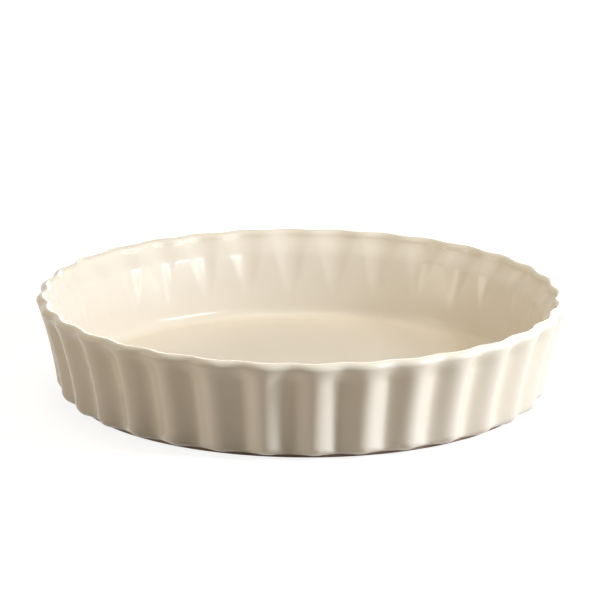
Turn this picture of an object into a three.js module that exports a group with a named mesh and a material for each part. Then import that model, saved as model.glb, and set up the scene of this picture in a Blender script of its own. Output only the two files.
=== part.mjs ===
// A round, deep flan dish of glazed stoneware, in millimetres with +Z up.
// The origin is on the dish's axis, on the surface that it stands on, and a lobe faces -Y.
import * as THREE from "three";

const { lerp, smoothstep } = THREE.MathUtils;

// Driving dimensions
const rimDiameter = 280; // across opposite lobes, at the lip
const baseDiameter = 257; // across opposite lobes, where the wall's line meets the underside
const height = 54; // from the foot to the top of the lip
const wallHollow = 1.5; // how far the wall's outline bows in, half way up
const wallThickness = 5.5; // in the valleys of the flutes
const fluteCount = 32; // lobes round the wall
const fluteDepth = 5.5; // from crest to valley, on the wall
const rimFluteDepth = 2.5; // from crest to valley, at the lip
const rimBlend = 9; // height below the lip in which the flutes grow shallow
const valleyRounding = 0.8; // 0 makes the valleys sharp creases, 1 nearly a plain wave
const grooveLength = 28; // how far the grooves inside reach down from the lip
const lipThickness = 6;
const lipHeight = 6; // the lip's own band, at the top of the wall
const floorThickness = 7;
const coveRadius = 7; // inside, between the floor and the wall
const heelRadius = 6.5; // outside, under the lobes, and smaller where the valleys near the foot
const footInset = 8; // from the crests' line down to the foot's outer edge
const footWidth = 7;
const footHeight = 2;
const footBevel = 0.8;

// How finely the round stretches are cut into flat faces
const stepsPerFlute = 6;
const footSteps = 96;
const filletSteps = 3;
const crownSteps = 4;
const outerSteps = 3;
const innerSteps = 4;

// Heights, radii and counts that follow from them
const floorTop = footHeight + floorThickness;
const lipBottom = height - lipHeight;
const lipCentre = height - lipThickness / 2;
const footRadius = baseDiameter / 2 - footInset;
const stations = fluteCount * stepsPerFlute;

const glazeColour = 0xf0e6d3;
const clayColour = 0xa8826a;

// Even shares from 0 to 1, both ends included.
function shares(steps) {
  return Array.from({ length: steps + 1 }, (_, step) => step / steps);
}

// 1 on a lobe's crest and 0 in the valley beside it.
function lobe(angle) {
  const wave = Math.cos((angle * fluteCount) / 2);
  const full = Math.hypot(1, valleyRounding) - valleyRounding;
  return (Math.hypot(wave, valleyRounding) - valleyRounding) / full;
}

// The line of the crests: straight from the base to the lip, bowed in by the hollow.
function crestRadius(z) {
  const rise = (z - footHeight) / (lipCentre - footHeight);
  const straight = lerp(baseDiameter, rimDiameter, rise) / 2;
  return straight - 4 * wallHollow * rise * (1 - rise);
}

// How deep the flutes are at a height, shallower near the lip.
function valleyDepth(z) {
  const nearLip = smoothstep(z, lipCentre - rimBlend, lipCentre);
  return lerp(fluteDepth, rimFluteDepth, nearLip);
}

// The fluted outside of the wall.
function outerRadius(angle, z) {
  return crestRadius(z) - valleyDepth(z) * (1 - lobe(angle));
}

// The smooth cone inside, one wall behind the valleys.
function coneRadius(z) {
  return crestRadius(z) - valleyDepth(z) - wallThickness;
}

// The cone with a groove behind each lobe: full at the lip, running out in a point lower down.
function innerRadius(angle, z) {
  const fullGroove = rimFluteDepth + wallThickness - lipThickness;
  const drop = (lipCentre - z) / grooveLength;
  return coneRadius(z) + fullGroove * Math.max(0, lobe(angle) - drop);
}

// An arc from a level plane to a leaning wall, tangent to both.
function fillet(wallRadius, planeZ, arcRadius) {
  const slope = (wallRadius(planeZ + arcRadius) - wallRadius(planeZ)) / arcRadius;
  const centre = wallRadius(planeZ) + arcRadius * (slope - Math.hypot(1, slope));
  return shares(filletSteps).map((share) => {
    const turn = lerp(-Math.PI / 2, -Math.atan(slope), share);
    const z = planeZ + arcRadius * (1 + Math.sin(turn));
    return new THREE.Vector2(centre + arcRadius * Math.cos(turn), z);
  });
}

// Points on a wall, from one height to another.
function wallLine(wallRadius, fromZ, toZ, steps) {
  return shares(steps).map((share) => {
    const z = lerp(fromZ, toZ, share);
    return new THREE.Vector2(wallRadius(z), z);
  });
}

const cove = fillet(coneRadius, floorTop, coveRadius);
const floorRadius = cove[0].x;

// The wall's outline at one angle: underside, heel, fluted outside, grooved inside and cove.
function wallSection(angle) {
  const outside = (z) => outerRadius(angle, z);
  const inside = (z) => innerRadius(angle, z);
  const heelRoom = outside(footHeight) - footRadius;
  const heel = fillet(outside, footHeight, Math.min(heelRadius, heelRoom));
  return [
    new THREE.Vector2(floorRadius, footHeight),
    ...heel,
    ...wallLine(outside, heel.at(-1).y, lipBottom, outerSteps).slice(1),
    ...wallLine(inside, lipBottom, cove.at(-1).y, innerSteps).slice(0, -1),
    ...cove.toReversed(),
  ];
}

// The lip's outline at one angle: a band as thick as the wall under it, with a round crown.
function lipSection(angle) {
  const outer = outerRadius(angle, lipCentre);
  const inner = innerRadius(angle, lipCentre);
  const crown = shares(crownSteps).map((share) => {
    const turn = Math.PI * share;
    const radius = (outer + inner) / 2 + ((outer - inner) / 2) * Math.cos(turn);
    return new THREE.Vector2(radius, lerp(lipCentre, height, Math.sin(turn)));
  });
  return [
    new THREE.Vector2(outerRadius(angle, lipBottom), lipBottom),
    ...crown,
    new THREE.Vector2(innerRadius(angle, lipBottom), lipBottom),
  ];
}

// A ring whose outline changes round the dish: a spun ring, its points then moved to each outline.
function flutedRing(sectionAt) {
  const closedSection = (angle) => {
    const outline = sectionAt(angle);
    return [...outline, outline[0]];
  };
  const geometry = new THREE.LatheGeometry(closedSection(0), stations);
  const place = geometry.attributes.position;
  shares(stations).forEach((share, station) => {
    const angle = 2 * Math.PI * share;
    const section = closedSection(angle);
    section.forEach((point, row) => {
      const index = station * section.length + row;
      place.setXYZ(index, point.x * Math.sin(angle), point.y, point.x * Math.cos(angle));
    });
  });
  geometry.computeVertexNormals();
  return geometry;
}

// The floor, whose edge lies against the wall all round.
function floorDisc() {
  const outline = [
    new THREE.Vector2(0, footHeight),
    new THREE.Vector2(floorRadius, footHeight),
    new THREE.Vector2(floorRadius, floorTop),
    new THREE.Vector2(0, floorTop),
  ];
  return new THREE.LatheGeometry(outline, stations);
}

// The foot, under the floor's edge and the wall, bevelled where it meets the table.
function footRing() {
  const inner = footRadius - footWidth;
  const outline = [
    new THREE.Vector2(inner + footBevel, 0),
    new THREE.Vector2(footRadius - footBevel, 0),
    new THREE.Vector2(footRadius, footBevel),
    new THREE.Vector2(footRadius, footHeight),
    new THREE.Vector2(inner, footHeight),
    new THREE.Vector2(inner, footBevel),
  ];
  return new THREE.LatheGeometry([...outline, outline[0]], footSteps);
}

function glazed() {
  return new THREE.MeshStandardMaterial({ color: glazeColour, roughness: 0.2, metalness: 0 });
}

function bareClay() {
  return new THREE.MeshStandardMaterial({ color: clayColour, roughness: 0.9, metalness: 0 });
}

function piece(name, geometry, material) {
  const mesh = new THREE.Mesh(geometry, material);
  mesh.name = name;
  return mesh;
}

// The outlines are spun about Y, so the dish is turned to stand along Z.
const dish = new THREE.Group();
dish.rotation.x = Math.PI / 2;
dish.add(piece("foot_ring", footRing(), bareClay()));
dish.add(piece("floor_disc", floorDisc(), glazed()));
dish.add(piece("fluted_wall", flutedRing(wallSection), glazed()));
dish.add(piece("rim_lip", flutedRing(lipSection), glazed()));

export default dish;
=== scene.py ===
# %% [markdown]
# # A fluted flan dish in cream glaze
# The dish is one piece of fired stoneware: a low foot, a flat floor, a flared wall with upright
# flutes, and a rounded lip that follows them. It could be sculpted by hand or bent into shape with
# modifiers, but its curves are regular. So this lesson builds its fine surface from a few formulas,
# and every curve runs on smoothly from one piece to the next.

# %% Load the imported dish
import math

import bmesh
import bpy
import numpy as np
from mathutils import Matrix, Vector


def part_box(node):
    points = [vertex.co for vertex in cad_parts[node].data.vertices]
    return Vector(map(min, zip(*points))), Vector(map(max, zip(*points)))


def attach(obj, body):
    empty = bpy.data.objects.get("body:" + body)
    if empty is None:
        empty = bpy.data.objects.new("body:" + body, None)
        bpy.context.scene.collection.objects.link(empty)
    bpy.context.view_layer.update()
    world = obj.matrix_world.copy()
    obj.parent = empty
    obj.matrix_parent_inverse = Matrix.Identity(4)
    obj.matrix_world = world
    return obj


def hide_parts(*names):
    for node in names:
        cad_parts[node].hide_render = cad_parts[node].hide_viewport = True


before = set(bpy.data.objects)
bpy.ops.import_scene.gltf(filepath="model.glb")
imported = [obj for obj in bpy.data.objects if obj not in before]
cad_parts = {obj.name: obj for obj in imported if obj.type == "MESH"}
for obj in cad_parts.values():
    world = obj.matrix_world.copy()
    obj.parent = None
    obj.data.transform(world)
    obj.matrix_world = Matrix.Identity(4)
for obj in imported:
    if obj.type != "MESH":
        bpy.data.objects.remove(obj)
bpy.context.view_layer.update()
print("nodes:", sorted(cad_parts))

# %% [markdown]
# ## The camera
# The picture is taken from a little above the table, with a long lens from far away, so the lip is
# a flat ellipse with almost no perspective. A camera could be placed by coordinates, but two angles
# are easier to compare with a picture: the azimuth turns round the dish from the front, to the
# right, and the elevation rises from the table. The camera isn't quite level, so the dish leans a
# hair to the right.

# %% Place the camera
scene = bpy.context.scene
camera_spot = Vector((-0.00114, 0, 0.0503))
camera_azimuth = -3.05
camera_elevation = 15.2
camera_distance = 2.74
camera_roll = 0.43


def direction(azimuth, elevation):
    turn, rise = math.radians(azimuth), math.radians(elevation)
    level = math.cos(rise)
    return Vector((math.sin(turn) * level, -math.cos(turn) * level, math.sin(rise)))


def aim(thing, spot, way, distance):
    thing.location = spot + way * distance
    thing.rotation_euler = way.to_track_quat("Z", "Y").to_euler()
    scene.collection.objects.link(thing)


camera = bpy.data.objects.new("camera", bpy.data.cameras.new("camera"))
camera.data.lens = 311.9
camera.data.clip_end = 50
aim(camera, camera_spot, direction(camera_azimuth, camera_elevation), camera_distance)
camera.rotation_euler.rotate_axis("Z", math.radians(camera_roll))
scene.camera = camera
print("camera at", [round(c, 3) for c in camera.location])

# %% [markdown]
# ## The sizes
# Heights and radii that show in the plain model are read from its boxes, so that the two can't come
# apart. The others don't show in a box. They are the maker's own sizes, in metres: how deep the
# flutes are, how thick the wall and the lip, how round the corners.

# %% Read the sizes from the plain model
lip_low, lip_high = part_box("rim_lip")
floor_low, floor_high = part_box("floor_disc")
foot_low, foot_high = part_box("foot_ring")

rim_radius, top = lip_high.x, lip_high.z
lip_bottom = lip_low.z
floor_radius, floor_top = floor_high.x, floor_high.z
foot_radius, foot_top = foot_high.x, foot_high.z

base_radius = 0.1285  # where the line of the crests meets the underside
wall_hollow = 0.0015  # how far the wall's outline bows in, half way up
wall_thickness = 0.0055  # in the valleys of the flutes
flute_count = 32
flute_depth = 0.0055  # from crest to valley, on the wall
rim_flute_depth = 0.0025  # from crest to valley, at the lip
rim_blend = 0.009  # height below the lip in which the flutes grow shallow
lip_thickness = 0.006
lip_centre = top - lip_thickness / 2
print("lip", round(rim_radius * 2000, 1), "mm across,", round(top * 1000, 1), "mm high")

# %% [markdown]
# ## The flutes as a formula
# Seen from above, the outside is a soft wave: round lobes, with valleys that are a little tighter.
# A plain cosine would make lobes and valleys alike. The size of a cosine of half the frequency has
# round lobes and sharp valleys, and a rounding term then softens the valleys by a chosen amount.
# Arrays hold all the stations round the dish at once.

# %% Shape the flutes
steps_per_flute = 24
station_count = flute_count * steps_per_flute
stations = np.arange(station_count) * 2 * np.pi / station_count
valley_rounding = 0.8  # 0 makes the valleys sharp creases


def softened(value, softness):
    return np.hypot(value, softness) - softness


wave = np.cos(stations * flute_count / 2)
lobe = softened(wave, valley_rounding) / softened(1, valley_rounding)
print(station_count, "stations, lobe from", round(lobe.min(), 3), "to", round(lobe.max(), 3))

# %% [markdown]
# ## The wall, outside and inside
# The outside flares upward with a slight hollow, and its flutes grow shallower under the lip. The
# inside is a smooth cone at the bottom. Behind each lobe a groove opens towards the lip, and it
# ends below in a soft point. Grooves could be cut with a boolean, but their edges would be hard. A
# formula for the radius at each height gives the soft edges that glaze has.

# %% Shape the wall
groove_length = 0.028  # how far the grooves reach down from the lip
groove_softness = 0.1  # how gently they run out


def eased(value, start, end):
    share = np.clip((value - start) / (end - start), 0, 1)
    return share * share * (3 - 2 * share)


def crest_radius(z):
    rise = (z - foot_top) / (lip_centre - foot_top)
    straight = base_radius + (rim_radius - base_radius) * rise
    return straight - 4 * wall_hollow * rise * (1 - rise)


def valley_depth(z):
    near_lip = eased(z, lip_centre - rim_blend, lip_centre)
    return flute_depth + (rim_flute_depth - flute_depth) * near_lip


def outer_radius(z):
    return crest_radius(z) - valley_depth(z) * (1 - lobe)


def cone_radius(z):
    same_all_round = 0 * lobe
    return crest_radius(z) - valley_depth(z) - wall_thickness + same_all_round


def inner_radius(z):
    full_groove = rim_flute_depth + wall_thickness - lip_thickness
    groove = lobe - (lip_centre - z) / groove_length
    return cone_radius(z) + full_groove * (groove + np.hypot(groove, groove_softness)) / 2


lip_width = outer_radius(lip_centre) - inner_radius(lip_centre)
print("wall at the lip:", round(1000 * lip_width.mean(), 2), "mm")

# %% [markdown]
# ## One skin of rings
# The glazed surface is a stack of rings, each a radius and a height at every station: from the
# underside, round the heel, up the wall, over the lip, down inside and round the cove to the floor.
# Each piece could be built alone, but then a line would show where two of them meet. Keeping the
# glaze as one skin lets the shading run on over the joints.

# %% Stack the rings up to the lip
rings = []
heel_radius = 0.0065  # smaller where the valleys near the foot
heel_rings = 10
wall_rings = 18


def add_ring(radius, z):
    rings.append((radius + 0 * lobe, z + 0 * lobe))


def fillet(radius_at, plane_z, arc, steps):
    slope = (radius_at(plane_z + arc) - radius_at(plane_z)) / arc
    centre = radius_at(plane_z) + arc * (slope - np.hypot(1, slope))
    for step in range(steps + 1):
        turn = -np.pi / 2 + (np.pi / 2 - np.arctan(slope)) * step / steps
        yield centre + arc * np.cos(turn), plane_z + arc * (1 + np.sin(turn))


def even_steps(start, end, steps):
    return [start + (end - start) * step / steps for step in range(1, steps + 1)]


add_ring(floor_radius, foot_top)
heel = np.minimum(heel_radius, outer_radius(foot_top) - foot_radius)
for radius, z in fillet(outer_radius, foot_top, heel, heel_rings):
    add_ring(radius, z)
heel_end = rings[-1][1]
for share in even_steps(0, 1, wall_rings):
    z = heel_end + (lip_bottom - heel_end) * share
    add_ring(outer_radius(z), z)
lip_start = len(rings) - 1
print(lip_start, "rings up to the lip")

# %% [markdown]
# The lip is the rounded edge that a wet sponge leaves. A bevel could round it, but the wall changes
# all round, so its section is written out: half an ellipse, as wide as the wall at that height and
# half the lip's thickness high. Below it, both sides run down to where the wall takes over.

# %% Round the lip
band_rings = 4
crown_rings = 16
outer_edge, inner_edge = outer_radius(lip_centre), inner_radius(lip_centre)
middle, half = (outer_edge + inner_edge) / 2, (outer_edge - inner_edge) / 2

for z in even_steps(lip_bottom, lip_centre, band_rings):
    add_ring(outer_radius(z), z)
for turn in even_steps(0, math.pi, crown_rings):
    add_ring(middle + half * math.cos(turn), lip_centre + (top - lip_centre) * math.sin(turn))
for z in even_steps(lip_centre, lip_bottom, band_rings):
    add_ring(inner_radius(z), z)
lip_end = len(rings) - 1
print(lip_end - lip_start, "rings over the lip")

# %% [markdown]
# Inside, the wall runs down into the cove, the round corner that lets a spoon reach everything. The
# floor itself is made later as a turned piece. One ring on it ends the skin, so that the cove's last
# normals lie in line with the floor.

# %% Come down inside
cove_radius = 0.007
cove_rings = 10
inside_rings = 28
floor_ring_share = 0.877
cove = list(fillet(cone_radius, floor_top, cove_radius, cove_rings))[::-1]

for share in even_steps(0, 1, inside_rings):
    z = lip_bottom + (cove[0][1] - lip_bottom) * share
    add_ring(inner_radius(z), z)
for radius, z in cove[1:]:
    add_ring(radius, z)
floor_start = len(rings) - 1
add_ring(floor_radius * floor_ring_share, floor_top)
print(len(rings), "rings in all")

# %% [markdown]
# ## Points and normals of the skin
# Each ring becomes a row of points. Blender can work out the normals by itself, but only piece by
# piece, and the joints would show. So they are measured here on the whole skin: the normal at a
# point is square to two directions, one round the dish and one along the section, and both come
# from the neighbouring points.

# %% Measure the skin
radii = np.array([ring[0] for ring in rings])
heights = np.array([ring[1] for ring in rings])
skin = np.stack([radii * np.sin(stations), -radii * np.cos(stations), heights], axis=-1)
around = np.roll(skin, -1, axis=1) - np.roll(skin, 1, axis=1)
along = np.gradient(skin, axis=0)
facing = np.cross(around, along)
facing /= np.linalg.norm(facing, axis=-1, keepdims=True)
print("skin of", skin.shape[0], "by", skin.shape[1], "points")

# %% [markdown]
# ## How the surface bends
# Molten glaze runs thin over sharp edges and gathers in hollows. A shader can find edges by itself,
# but what it finds depends on how fine the mesh is. So the bend is measured here: where neighbouring
# normals spread apart the skin is an edge, and where they lean together it is a hollow. Each point
# keeps the two shares for the finish.

# %% Measure edges and hollows
edge_bends = (150, 420)  # per metre, where the glaze starts to thin and where it is thinnest
hollow_bends = (40, 260)  # per metre, where it starts to gather and where it is deepest
smallest_step = 1e-12


def spread(points, normals, axis):
    step = np.roll(points, -1, axis) - np.roll(points, 1, axis)
    turn = np.roll(normals, -1, axis) - np.roll(normals, 1, axis)
    return (step * turn).sum(-1) / np.maximum((step * step).sum(-1), smallest_step)


bend = spread(skin, facing, 1) + spread(skin, facing, 0)
bend[[0, -1]] = 0
edge_share = eased(bend, *edge_bends)
hollow_share = eased(-bend, *hollow_bends)
print("sharpest edge", round(bend.max()), "deepest hollow", round(bend.min()), "per metre")

# %% [markdown]
# ## Pieces cut from the skin
# The wall and the lip are one piece of clay on the real dish. Here each takes its own stretches of
# the skin and is closed by plain faces where it meets its neighbour, so it is a solid of its own.
# The stored normals are those of the whole skin, so no line shows at the joint.

# %% Make a piece from stretches of the skin


def place_piece(name, mesh, node):
    piece = bpy.data.objects.new(name, mesh)
    scene.collection.objects.link(piece)
    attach(piece, "root")
    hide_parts(node)
    print(name, "has", len(mesh.vertices), "points and", len(mesh.polygons), "faces")
    return piece


def flat_normals(corners):
    first, second, third, _ = corners
    flat = np.cross(second - first, third - first)
    return flat / np.linalg.norm(flat, axis=-1, keepdims=True)


def skin_piece(name, node, stretches):
    rows = np.concatenate([np.arange(*stretch) for stretch in stretches])
    closing_rows = np.cumsum([stop - start for start, stop in stretches]) - 1
    ring, place = np.meshgrid(np.arange(len(rows)), np.arange(station_count), indexing="ij")
    next_ring, beside = (ring + 1) % len(rows), (place + 1) % station_count
    quads = [(ring, place), (ring, beside), (next_ring, beside), (next_ring, place)]
    faces = np.stack([r * station_count + p for r, p in quads], -1).reshape(-1, 4)
    points = skin[rows]
    corner_normals = np.stack([facing[rows][r, p] for r, p in quads], 2)
    for row in closing_rows:
        corner_normals[row] = flat_normals([points[r[row], p[row]] for r, p in quads])[:, None]
    mesh = bpy.data.meshes.new(name)
    mesh.from_pydata(points.reshape(-1, 3).tolist(), [], faces.tolist())
    mesh.polygons.foreach_set("use_smooth", [True] * len(faces))
    mesh.normals_split_custom_set(corner_normals.reshape(-1, 3).tolist())
    for label, share in (("edge", edge_share), ("hollow", hollow_share)):
        layer = mesh.attributes.new(label, "FLOAT", "POINT")
        layer.data.foreach_set("value", share[rows].astype(np.float32).ravel())
    return place_piece(name, mesh, node)


wall = skin_piece("glazed_wall", "fluted_wall", [(0, lip_start + 1), (lip_end, floor_start + 1)])
lip = skin_piece("glazed_lip", "rim_lip", [(lip_start, lip_end + 1)])

# %% [markdown]
# ## The floor
# The floor is flat, and its edge lies against the cove. The floor and the foot are plain turned
# shapes. They could be stacked from rings too, but a section that is drawn once and spun round the
# axis is shorter, as on a potter's wheel.

# %% Spin a section into a piece
sharp_angle = math.radians(50)
merge_distance = 1e-7


def spun_piece(name, node, section, closed):
    mesh = bpy.data.meshes.new(name)
    body = bmesh.new()
    points = [body.verts.new((0, -radius, z)) for radius, z in section]
    pairs = list(zip(points, points[1:] + points[:1]))
    edges = [body.edges.new(pair) for pair in (pairs if closed else pairs[:-1])]
    bmesh.ops.spin(
        body,
        geom=points + edges,
        axis=(0, 0, 1),
        cent=(0, 0, 0),
        angle=2 * math.pi,
        steps=station_count,
        use_merge=True,
    )
    bmesh.ops.remove_doubles(body, verts=body.verts, dist=merge_distance)
    bmesh.ops.recalc_face_normals(body, faces=body.faces)
    body.to_mesh(mesh)
    body.free()
    mesh.shade_smooth()
    mesh.set_sharp_from_angle(angle=sharp_angle)
    return place_piece(name, mesh, node)


spokes = [floor_radius * share for share in (0.25, 0.5, 0.75, 0.9, 1)]
floor_section = [(0, foot_top)] + [(r, foot_top) for r in spokes]
floor_section += [(r, floor_top) for r in spokes[::-1]] + [(0, floor_top)]
floor = spun_piece("glazed_floor", "floor_disc", floor_section, closed=False)

# %% [markdown]
# ## The foot
# The foot is a low ring whose lower corners were rubbed round with a sponge before firing. A bevel
# would do the same, but two arcs in the section need no further step. Its top lies against the
# underside of the dish.

# %% Round the foot
foot_width = 0.007
foot_corner = 0.0009
corner_steps = 4
foot_inner = foot_radius - foot_width


def rounded_corner(radius, z, start):
    for step in range(corner_steps + 1):
        turn = start + math.pi / 2 * step / corner_steps
        yield radius + foot_corner * math.cos(turn), z + foot_corner * math.sin(turn)


foot_section = list(rounded_corner(foot_inner + foot_corner, foot_corner, math.pi))
foot_section += list(rounded_corner(foot_radius - foot_corner, foot_corner, 3 * math.pi / 2))
foot_section += [(foot_radius, foot_top), (foot_inner, foot_top)]
foot = spun_piece("bare_foot", "foot_ring", foot_section, closed=True)

# %% [markdown]
# ## Effects that both finishes share
# Kiln heat leaves slow drifts of tone on glaze and clay alike, and both have a fine grain that
# catches the light. The nodes could be laid out twice. Instead each effect is a node group with its
# own inputs, built once and used in both materials with other values.

# %% Build the shared effects


def effect(name, inputs, outputs):
    group = bpy.data.node_groups.new(name, "ShaderNodeTree")
    for label, value in inputs.items():
        socket = group.interface.new_socket(label, in_out="INPUT", socket_type="NodeSocketFloat")
        socket.default_value = value
    for label in outputs:
        group.interface.new_socket(label, in_out="OUTPUT", socket_type="NodeSocketFloat")
    entry = group.nodes.new("NodeGroupInput")
    leave = group.nodes.new("NodeGroupOutput")
    place = group.nodes.new("ShaderNodeTexCoord")
    return group, entry.outputs, leave.inputs, place.outputs["Object"]


def noise_in(group, place, scale, detail):
    noise = group.nodes.new("ShaderNodeTexNoise")
    noise.inputs["Detail"].default_value = detail
    group.links.new(place, noise.inputs["Vector"])
    group.links.new(scale, noise.inputs["Scale"])
    return noise.outputs["Fac"]


drift_inputs = {"Scale": 10, "Low": 0.35, "High": 0.65}
kiln_drift, given, result, place = effect("Kiln drift", drift_inputs, ["Drift"])
clouds = noise_in(kiln_drift, place, given["Scale"], detail=2)
stretch = kiln_drift.nodes.new("ShaderNodeMapRange")
kiln_drift.links.new(clouds, stretch.inputs["Value"])
kiln_drift.links.new(given["Low"], stretch.inputs["From Min"])
kiln_drift.links.new(given["High"], stretch.inputs["From Max"])
kiln_drift.links.new(stretch.outputs["Result"], result["Drift"])

fine_grain, given, result, place = effect("Fine grain", {"Scale": 200}, ["Height"])
fine_grain.links.new(noise_in(fine_grain, place, given["Scale"], detail=3), result["Height"])
print("effects:", [group.name for group in bpy.data.node_groups])

# %% [markdown]
# ## Small steps that build a finish
# A finish is a shader and a few nodes that feed it. Nodes could be wired by hand each time. These
# helpers each do one thing that a maker would name: start a finish, use an effect, blend two
# colours, set a range, read a share kept on the points, and raise a bump.

# %% Make helpers for the finishes
first_colour, second_colour, blended_colour = 6, 7, 2  # the Mix node's colour sockets


def finish_material(name):
    material = bpy.data.materials.new(name)
    material.use_nodes = True
    return material, material.node_tree, material.node_tree.nodes["Principled BSDF"]


def use_effect(tree, group, **values):
    node = tree.nodes.new("ShaderNodeGroup")
    node.node_tree = group
    for label, value in values.items():
        node.inputs[label].default_value = value
    return node


def blend_colours(tree, factor, first, second):
    mix = tree.nodes.new("ShaderNodeMix")
    mix.data_type = "RGBA"
    tree.links.new(factor, mix.inputs["Factor"])
    for socket, colour in ((first_colour, first), (second_colour, second)):
        if isinstance(colour, tuple):
            mix.inputs[socket].default_value = (*colour, 1)
        else:
            tree.links.new(colour, mix.inputs[socket])
    return mix.outputs[blended_colour]


def ranged(tree, value, low, high):
    span = tree.nodes.new("ShaderNodeMapRange")
    span.inputs["To Min"].default_value = low
    span.inputs["To Max"].default_value = high
    tree.links.new(value, span.inputs["Value"])
    return span.outputs["Result"]


def point_share(tree, label):
    layer = tree.nodes.new("ShaderNodeAttribute")
    layer.attribute_name = label
    return layer.outputs["Fac"]


def raise_bump(tree, shader, height, distance):
    bump = tree.nodes.new("ShaderNodeBump")
    bump.inputs["Distance"].default_value = distance
    tree.links.new(height, bump.inputs["Height"])
    tree.links.new(bump.outputs["Normal"], shader.inputs["Normal"])


print("helpers ready")

# %% [markdown]
# ## The cream glaze
# The glaze is a glassy, smooth cream. It is a touch deeper where it gathers in hollows and a touch
# warmer where it runs thin over the lip, and its gloss and its level waver a little, as molten
# glass does when it sets. One flat colour would look like plastic, so the tone follows the slow
# drift and the two shares that the points carry.

# %% Mix the glaze
cream = (0.884, 0.815, 0.69)
deeper_cream = (0.872, 0.797, 0.665)
gathered_cream = (0.85, 0.778, 0.632)
thin_cream = (0.868, 0.8, 0.655)
smoothest, roughest = 0.19, 0.25
glaze_ripple = 0.00006

glaze, tree, shader = finish_material("cream_glaze")
drift = use_effect(tree, kiln_drift, Scale=14).outputs["Drift"]
ripple = use_effect(tree, fine_grain, Scale=130).outputs["Height"]
tone = blend_colours(tree, drift, cream, deeper_cream)
tone = blend_colours(tree, point_share(tree, "hollow"), tone, gathered_cream)
tone = blend_colours(tree, point_share(tree, "edge"), tone, thin_cream)
tree.links.new(tone, shader.inputs["Base Color"])
tree.links.new(ranged(tree, drift, smoothest, roughest), shader.inputs["Roughness"])
shader.inputs["Specular IOR Level"].default_value = 0.25
raise_bump(tree, shader, ripple, glaze_ripple)
for piece in (wall, lip, floor):
    piece.data.materials.append(glaze)
print("glaze on", wall.name, lip.name, floor.name)

# %% [markdown]
# ## The bare clay
# The foot is wiped clean of glaze so that it doesn't stick to the kiln shelf. It shows the fired
# body: brown, matt and grainy, with paler specks. The same two effects as in the glaze make it, with
# a tighter drift, a finer grain and a stronger bump.

# %% Mix the clay
brown_clay = (0.36, 0.26, 0.2)
dark_clay = (0.28, 0.19, 0.14)
clay_speck = (0.5, 0.39, 0.31)
most_speck = 0.35
least_matt, most_matt = 0.82, 0.95
clay_grain = 0.0002

clay, tree, shader = finish_material("bare_clay")
drift = use_effect(tree, kiln_drift, Scale=40).outputs["Drift"]
grain = use_effect(tree, fine_grain, Scale=900).outputs["Height"]
tone = blend_colours(tree, drift, brown_clay, dark_clay)
tone = blend_colours(tree, ranged(tree, grain, 0, most_speck), tone, clay_speck)
tree.links.new(tone, shader.inputs["Base Color"])
tree.links.new(ranged(tree, drift, least_matt, most_matt), shader.inputs["Roughness"])
raise_bump(tree, shader, grain, clay_grain)
foot.data.materials.append(clay)
print("bare clay on", foot.name)

# %% [markdown]
# ## The table
# A pale table carries the shadow. It could be made white by more light, but the dish would then be
# too bright. So to the camera and in reflections a part of its white is its own glow, which keeps
# it even, and the rest comes from the lamps, so the dish still throws a soft shadow. For the light
# that it throws back on the dish it is a warm beige with no glow. It lies a hair below the foot, so
# that the two faces don't mix.

# %% Lay the table
table_reach = 4
table_drop = 0.0002
beige, grey, black, white = (0.5, 0.45, 0.39), (0.4, 0.4, 0.4), (0, 0, 0), (1, 1, 1)
table_glow = 0.84


def seen_ray(tree):
    path = tree.nodes.new("ShaderNodeLightPath")
    seen = path.outputs["Is Camera Ray"]
    for label in ("Is Glossy Ray", "Is Transmission Ray"):
        either = tree.nodes.new("ShaderNodeMath")
        either.operation = "MAXIMUM"
        tree.links.new(seen, either.inputs[0])
        tree.links.new(path.outputs[label], either.inputs[1])
        seen = either.outputs["Value"]
    return seen


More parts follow.
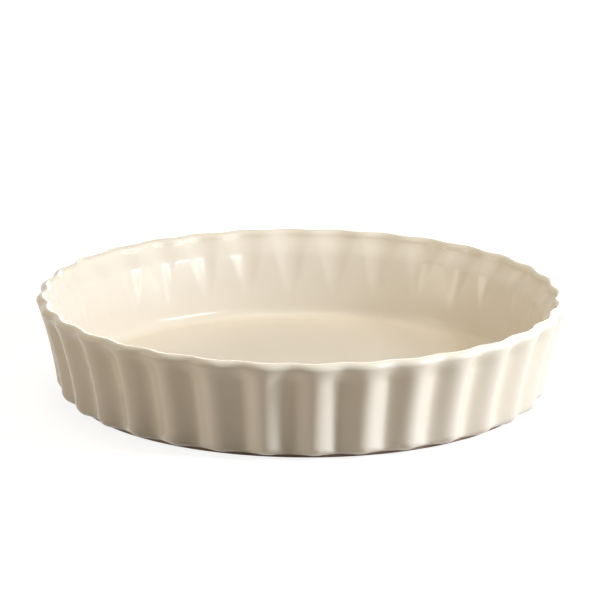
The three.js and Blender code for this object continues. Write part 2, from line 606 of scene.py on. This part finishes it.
table_mesh = bpy.data.meshes.new("table")
table_corners = [(x * table_reach, y * table_reach, 0) for x, y in ((-1, -1), (1, -1), (1, 1), (-1, 1))]
table_mesh.from_pydata(table_corners, [], [(0, 1, 2, 3)])
table = bpy.data.objects.new("table", table_mesh)
table.location.z = -table_drop
scene.collection.objects.link(table)
pale, tree, shader = finish_material("pale_table")
seen = seen_ray(tree)
tree.links.new(blend_colours(tree, seen, beige, grey), shader.inputs["Base Color"])
tree.links.new(blend_colours(tree, seen, black, white), shader.inputs["Emission Color"])
shader.inputs["Emission Strength"].default_value = table_glow
shader.inputs["Roughness"].default_value = 0.9
shader.inputs["Specular IOR Level"].default_value = 0
table_mesh.materials.append(pale)
print("table", table.dimensions[:2])

# %% [markdown]
# ## The light
# Four lamps on the right give the picture its shape. The low one rakes the outside, the high one
# throws the wall's shadow on the floor, and the near one brightens the inside. The tall one is a
# strip, like a window, and the glaze inside at the left reflects it as upright streaks. Large, weak
# panels overhead, at the left, in front and behind fill the shade with a warmer light. One bright
# sky could light it all, but then the flutes would lose their shade.

# %% Hang the lamps
daylight = (0.94, 1, 1.12)
lamplight = (1, 0.87, 0.68)
room_light = (1, 0.93, 0.84)
lit_spot = Vector((0, 0, 0.03))
far, near = 2.5, 0.57


def soft_box(name, azimuth, elevation, distance, width, height, power, colour):
    lamp = bpy.data.lights.new(name, "AREA")
    lamp.shape = "RECTANGLE"
    lamp.size = width
    lamp.size_y = height
    lamp.energy = power
    lamp.color = colour
    aim(bpy.data.objects.new(name, lamp), lit_spot, direction(azimuth, elevation), distance)
    print(name, "at", azimuth, elevation, "degrees,", power, "W")


soft_box("low_lamp", 70, 4, far, 0.3, 0.3, 11, daylight)
soft_box("high_lamp", 69, 28, far, 0.3, 0.3, 16.5, daylight)
soft_box("tall_lamp", 75, 17, far, 0.36, 1, 11, daylight)
soft_box("near_lamp", 58, 31, near, 0.1, 0.1, 1.25, daylight)
soft_box("overhead_panel", 100, 86, far, 1.6, 1.6, 26, lamplight)
soft_box("left_panel", -82, 11, far, 1, 1, 17, room_light)
soft_box("front_panel", -35, 35, far, 1.4, 1.4, 2, room_light)
soft_box("back_panel", 172, 9, far, 0.8, 0.8, 14, room_light)

# %% [markdown]
# The room itself is dim, so that the shade stays in the flutes. To the camera and in reflections it
# is as white as the table.

# %% Dim the room
dim_room = (0.02, 0.019, 0.017)
room = bpy.data.worlds.new("room")
scene.world = room
room.use_nodes = True
tree = room.node_tree
sky = tree.nodes["Background"]
tree.links.new(blend_colours(tree, seen_ray(tree), dim_room, white), sky.inputs["Color"])
scene.view_settings.view_transform = "Standard"
print("room light", dim_room)
